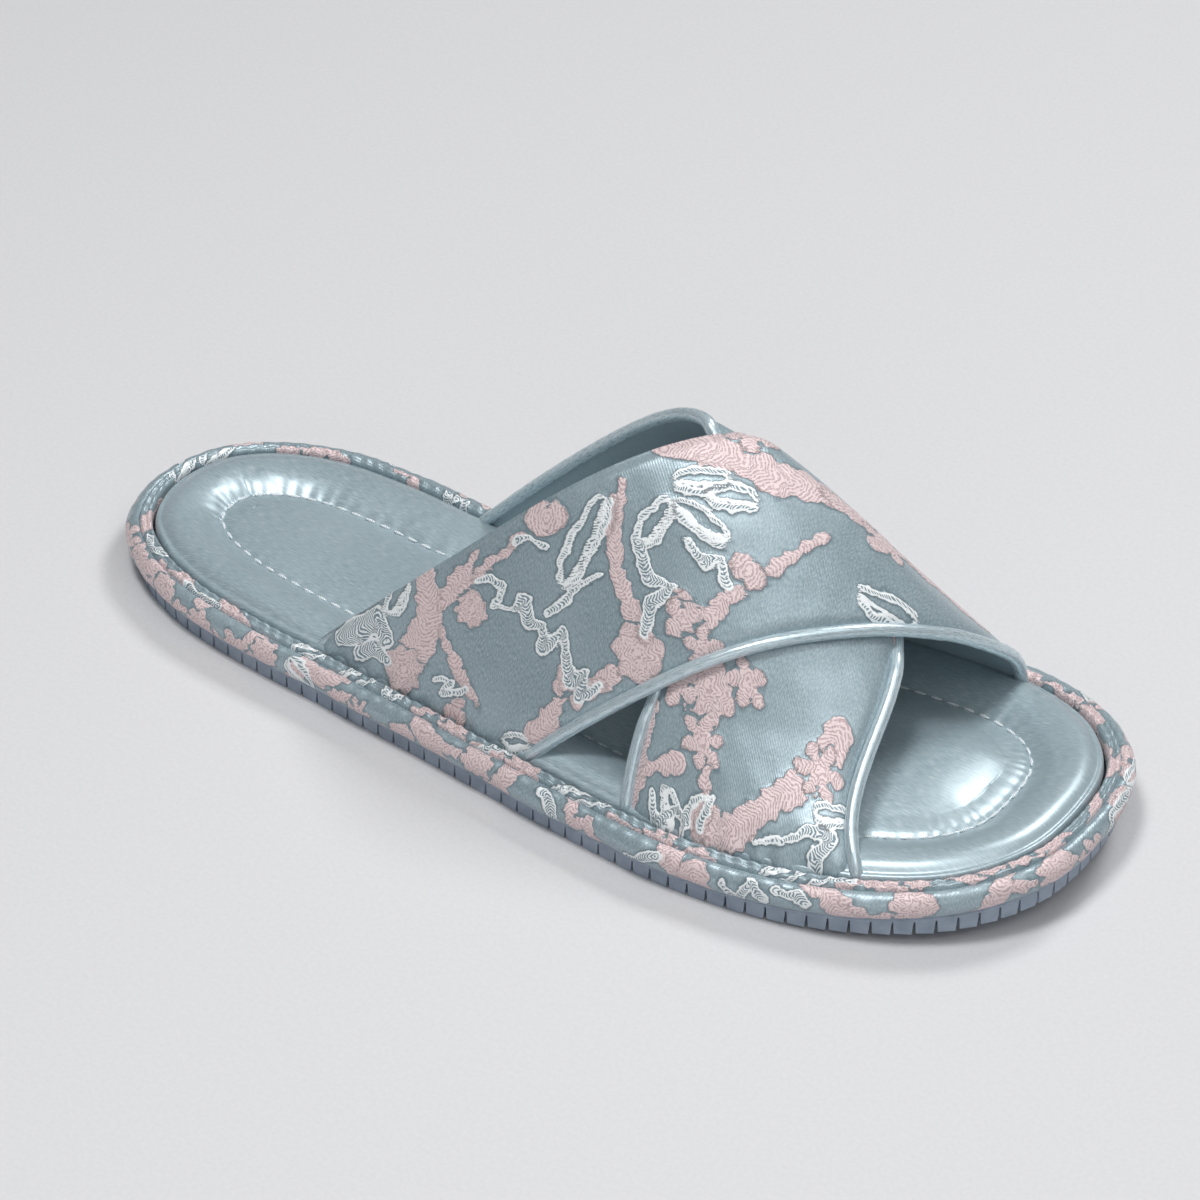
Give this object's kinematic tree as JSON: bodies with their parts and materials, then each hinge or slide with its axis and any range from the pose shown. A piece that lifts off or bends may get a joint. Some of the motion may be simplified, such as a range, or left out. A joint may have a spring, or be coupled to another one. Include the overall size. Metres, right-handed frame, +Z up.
{
  "type": "cross-strap textile slipper",
  "caption": "Open-toe cross-strap house slipper for the right foot: padded satin insole, brocade straps with piped edges, wrapped platform and notched rubber outsole.",
  "frame": {"origin": "on the floor, under the middle of the slipper's bounding box", "axes": "+X from heel to toe, +Y towards the inner side of the foot, +Z up from the floor"},
  "size_m": [0.2648, 0.1078, 0.0823],
  "materials": {
    "outsole": "matt, fine grain",
    "platform_wrap": "blossom brocade with a satin ground",
    "rim_band": "folded brocade, stitched",
    "insole": "padded satin with a quilting seam",
    "upper": "blossom brocade with a satin ground",
    "piping": "satin-covered cord"
  },
  "bodies": {
    "root": {"outsole": "outsole", "platform_wrap": "platform_wrap", "rim_band": "rim_band", "insole": "insole", "upper": "upper", "piping_top_rear": "piping", "piping_top_front": "piping", "piping_under_rear": "piping", "piping_under_front": "piping"}
  },
  "joints": []
}
